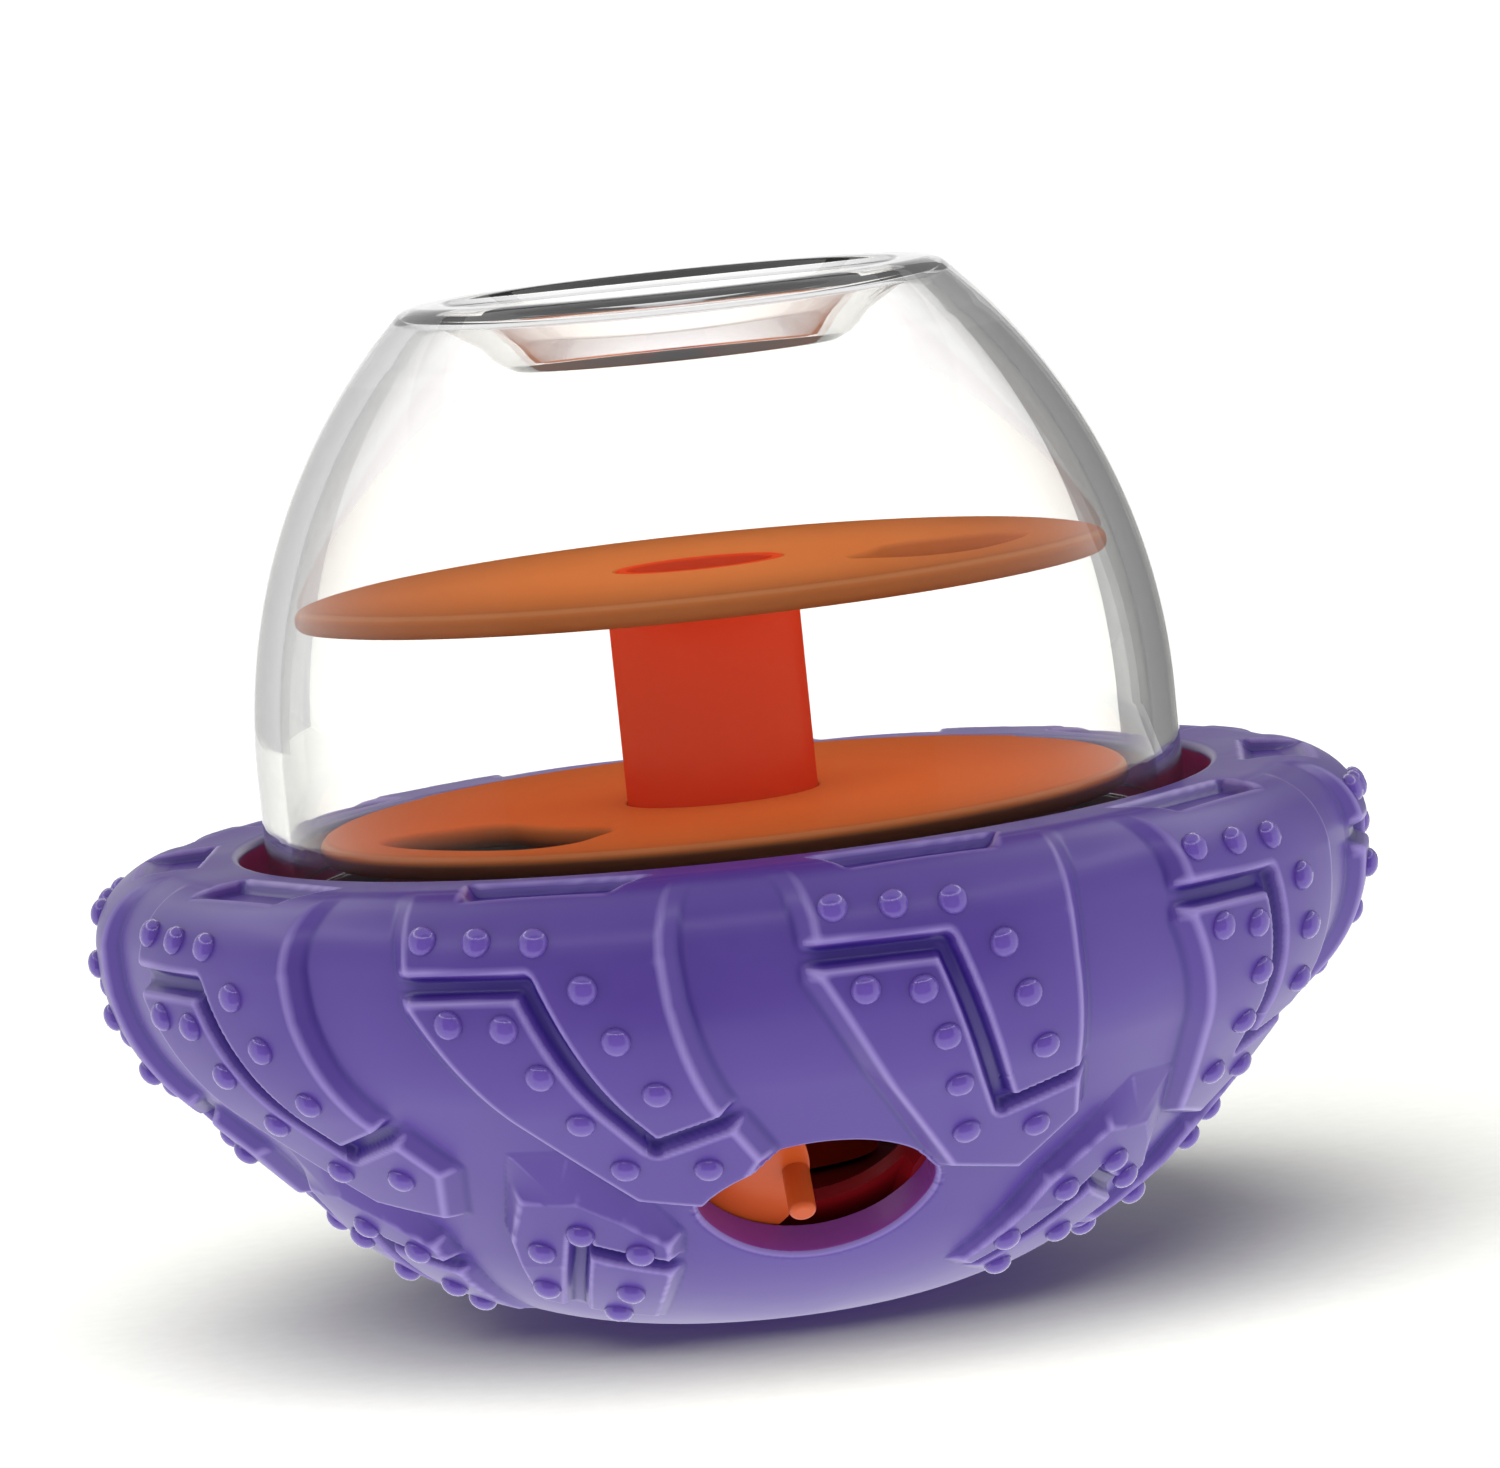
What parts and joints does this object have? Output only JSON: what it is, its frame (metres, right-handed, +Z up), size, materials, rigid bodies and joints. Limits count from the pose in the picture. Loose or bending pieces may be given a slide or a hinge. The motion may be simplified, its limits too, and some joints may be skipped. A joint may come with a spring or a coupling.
{
  "type": "dog puzzle toy",
  "caption": "Self-righting dog puzzle toy: weighted tyre-tread bowl with a shuttered treat outlet, two slotted trays on a column and a clear screw-on dome.",
  "frame": {"origin": "centre of the flat foot under the bowl, on the floor", "axes": "+Z up along the axis of the bowl, column and dome; the treat outlet faces -Y, a little towards +X"},
  "size_m": [0.1418, 0.1394, 0.1124],
  "materials": {
    "purple_rubber": "satin moulded thermoplastic rubber",
    "red_plastic": "moulded plastic, fine matt",
    "shutter_orange": "moulded plastic, semi gloss",
    "ballast_iron": "cast",
    "screw_steel": "zinc plated",
    "column_red": "moulded plastic, semi gloss",
    "tray_orange": "moulded plastic, semi gloss",
    "seal_silicone": "silicone ring",
    "dome_clear": "clear polished polycarbonate"
  },
  "bodies": {
    "base": {"tread_shell": "purple_rubber", "inner_bowl": "red_plastic", "counterweight": "ballast_iron", "weight_cover": "red_plastic", "cover_screws": "screw_steel", "axle_washer": "screw_steel", "axle_screw": "screw_steel"},
    "shutter": {"outlet_shutter": "shutter_orange"},
    "trays": {"tray_hub": "column_red", "column": "column_red", "lower_tray": "tray_orange", "upper_tray": "tray_orange"},
    "seal": {"dome_seal": "seal_silicone"},
    "dome": {"dome": "dome_clear"}
  },
  "joints": [
    {"name": "dome_lift", "type": "slide", "parent": "base", "child": "seal", "axis": [0, 0, 1], "range_m": [0, 0.075]},
    {"name": "dome_turn", "type": "hinge", "parent": "seal", "child": "dome", "pos_m": [0, 0, 0.04], "axis": [0, 0, 1], "range_deg": [0, 1126]},
    {"name": "shutter_slide", "type": "hinge", "parent": "base", "child": "shutter", "pos_m": [0, 0, 0.02], "axis": [0, 0, 1], "range_deg": [-8, 12]},
    {"name": "tray_turn", "type": "hinge", "parent": "base", "child": "trays", "pos_m": [0, 0, 0.04], "axis": [0, 0, 1], "continuous": true}
  ],
  "couplings": [
    {"joint": "dome_turn", "follows": "dome_lift", "rad_per_m": 261.8}
  ]
}
